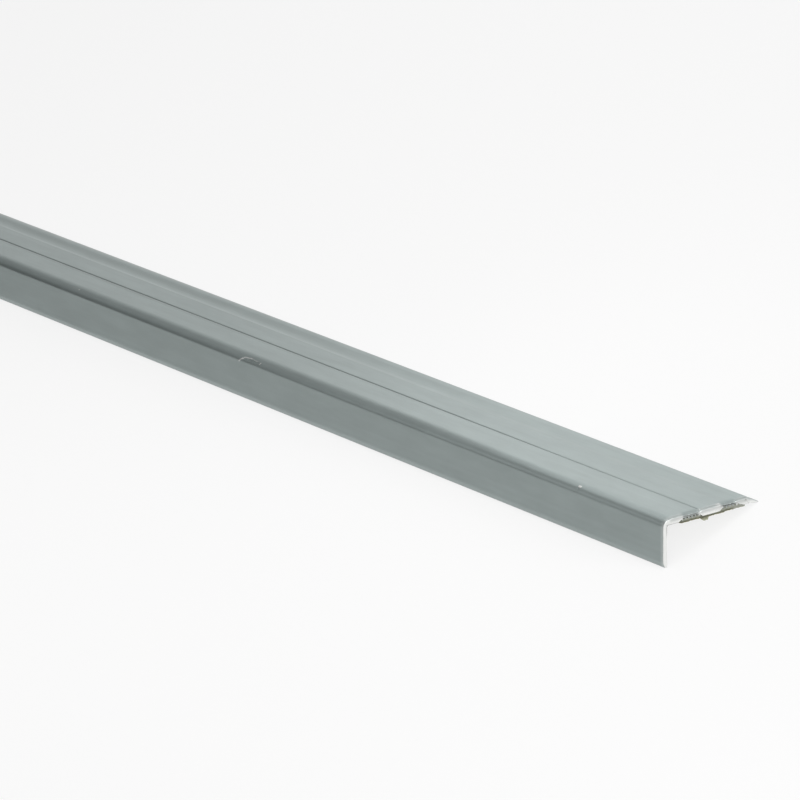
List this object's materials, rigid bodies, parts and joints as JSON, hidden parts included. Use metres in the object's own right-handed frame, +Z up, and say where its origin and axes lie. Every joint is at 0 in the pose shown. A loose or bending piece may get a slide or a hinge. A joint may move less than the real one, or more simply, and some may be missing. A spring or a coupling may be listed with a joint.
{
  "type": "corner profile",
  "caption": "Extruded angle strip for step and board edges: a broad flange with serrated glue channels and adhesive tape under it, a short leg, and a ramp down to a thin rear toe.",
  "frame": {"origin": "on the floor under the middle of the part's bounding box", "axes": "X along the length, +X at the cut end that faces the viewer; the leg's outer face looks towards -Y, the rear toe points towards +Y; +Z up, with the profile resting on its foot and toe like a low roof"},
  "size_m": [0.9, 0.0256, 0.0093],
  "materials": {
    "anodised_aluminium": "satin natural anodised, cut ends bare",
    "tape_adhesive": "dull, tacky",
    "liner_paper": "waxed, slightly glossy"
  },
  "bodies": {
    "root": {"corner_profile": "anodised_aluminium", "adhesive_strip": "tape_adhesive", "release_liner": "liner_paper"}
  },
  "joints": []
}
